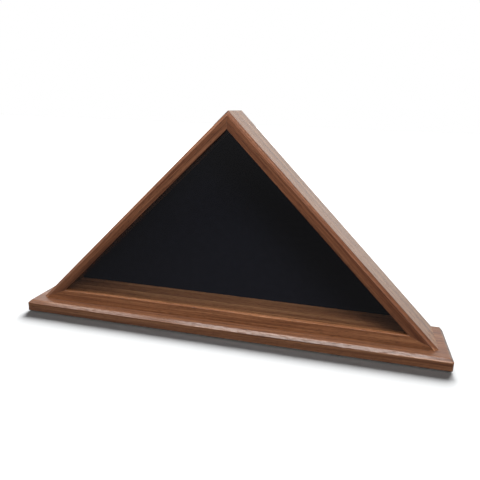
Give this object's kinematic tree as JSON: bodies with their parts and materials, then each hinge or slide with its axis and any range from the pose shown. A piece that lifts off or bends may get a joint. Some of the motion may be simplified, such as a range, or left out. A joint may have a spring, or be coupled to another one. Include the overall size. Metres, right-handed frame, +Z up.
{
  "type": "folded flag display case",
  "caption": "Triangular walnut display case for a folded flag, with a glazed front, a black felted lift-out back held by turn buttons, on a moulded base.",
  "frame": {"origin": "bottom centre of the whole case's bounding box, on the surface that the feet stand on", "axes": "+Z up, -Y out of the glazed front towards the viewer, +Y towards the lift-out back, +X to the right seen from the front"},
  "size_m": [0.696, 0.1108, 0.3508],
  "materials": {
    "walnut": "satin lacquered open-pored walnut, reddish brown, grain running along each member",
    "spline_wood": "unfinished birch",
    "glass": "clear float glass",
    "panel_board": "dark stained smooth hardboard",
    "felt": "black short-napped felt",
    "brass": "brushed and lacquered, slightly tarnished",
    "steel": "zinc plated",
    "rubber": "matt black"
  },
  "bodies": {
    "case": {"face_rail_left": "walnut", "face_rail_right": "walnut", "face_rail_bottom": "walnut", "side_board_left": "walnut", "side_board_right": "walnut", "bottom_board": "walnut", "glazing_bead_left": "walnut", "glazing_bead_right": "walnut", "glazing_bead_bottom": "walnut", "base_board": "walnut", "corner_spline_apex": "spline_wood", "corner_spline_left": "spline_wood", "corner_spline_right": "spline_wood", "glass_pane": "glass", "turn_button_screw_left_lower": "brass", "turn_button_screw_left_upper": "brass", "turn_button_screw_right_upper": "brass", "turn_button_screw_right_lower": "brass", "turn_button_screw_bottom_right": "brass", "turn_button_screw_bottom_left": "brass", "base_screw_left": "steel", "base_screw_mid_left": "steel", "base_screw_mid_right": "steel", "base_screw_right": "steel", "foot_front_left": "rubber", "foot_front_right": "rubber", "foot_back_left": "rubber", "foot_back_right": "rubber"},
    "back": {"back_panel": "panel_board", "back_panel_felt": "felt"},
    "button_left_lower": {"turn_button_left_lower": "brass"},
    "button_left_upper": {"turn_button_left_upper": "brass"},
    "button_right_upper": {"turn_button_right_upper": "brass"},
    "button_right_lower": {"turn_button_right_lower": "brass"},
    "button_bottom_right": {"turn_button_bottom_right": "brass"},
    "button_bottom_left": {"turn_button_bottom_left": "brass"}
  },
  "joints": [
    {"name": "back_panel_lift_out", "type": "slide", "parent": "case", "child": "back", "axis": [0, 1, 0], "range_m": [0, 0.12]},
    {"name": "button_turn_left_lower", "type": "hinge", "parent": "case", "child": "button_left_lower", "pos_m": [-0.25145, 0.0531, 0.09425], "axis": [0, -1, 0], "continuous": true},
    {"name": "button_turn_left_upper", "type": "hinge", "parent": "case", "child": "button_left_upper", "pos_m": [-0.07325, 0.0531, 0.27245], "axis": [0, -1, 0], "continuous": true},
    {"name": "button_turn_right_upper", "type": "hinge", "parent": "case", "child": "button_right_upper", "pos_m": [0.07325, 0.0531, 0.27245], "axis": [0, 1, 0], "continuous": true},
    {"name": "button_turn_right_lower", "type": "hinge", "parent": "case", "child": "button_right_lower", "pos_m": [0.25145, 0.0531, 0.09425], "axis": [0, 1, 0], "continuous": true},
    {"name": "button_turn_bottom_right", "type": "hinge", "parent": "case", "child": "button_bottom_right", "pos_m": [0.1782, 0.0531, 0.02475], "axis": [0, -1, 0], "continuous": true},
    {"name": "button_turn_bottom_left", "type": "hinge", "parent": "case", "child": "button_bottom_left", "pos_m": [-0.1782, 0.0531, 0.02475], "axis": [0, 1, 0], "continuous": true}
  ]
}
